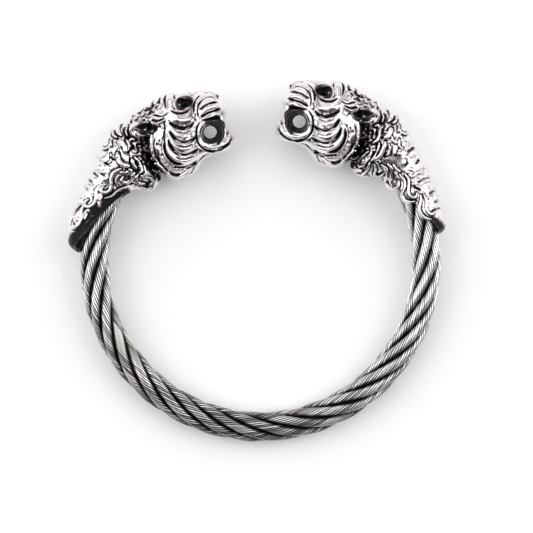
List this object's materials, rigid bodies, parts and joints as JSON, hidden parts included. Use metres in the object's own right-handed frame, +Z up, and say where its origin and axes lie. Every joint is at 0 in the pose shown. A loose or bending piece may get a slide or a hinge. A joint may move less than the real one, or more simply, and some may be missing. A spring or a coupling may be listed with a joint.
{
  "type": "wire rope cuff bangle with two tiger heads",
  "caption": "Open cuff bangle of laid steel wire rope, its ends held in cast silver tiger heads that face each other across the gap.",
  "frame": {"origin": "middle of the bangle's bounding box, on the surface that it lies on", "axes": "+Z up from the surface; +Y from the far side of the rope towards the two heads; +X from the left head towards the right head"},
  "size_m": [0.0781, 0.0738, 0.0147],
  "materials": {
    "rope_steel": "bright drawn steel wire, laid in strands, dark between the wires",
    "cast_silver": "cast silver, polished on the high places and oxidised nearly black in the recesses"
  },
  "bodies": {
    "root": {"strand_1": "rope_steel", "strand_2": "rope_steel", "strand_3": "rope_steel", "strand_4": "rope_steel", "strand_5": "rope_steel", "strand_6": "rope_steel", "cable_core": "rope_steel", "left_head": "cast_silver", "right_head": "cast_silver"}
  },
  "joints": []
}
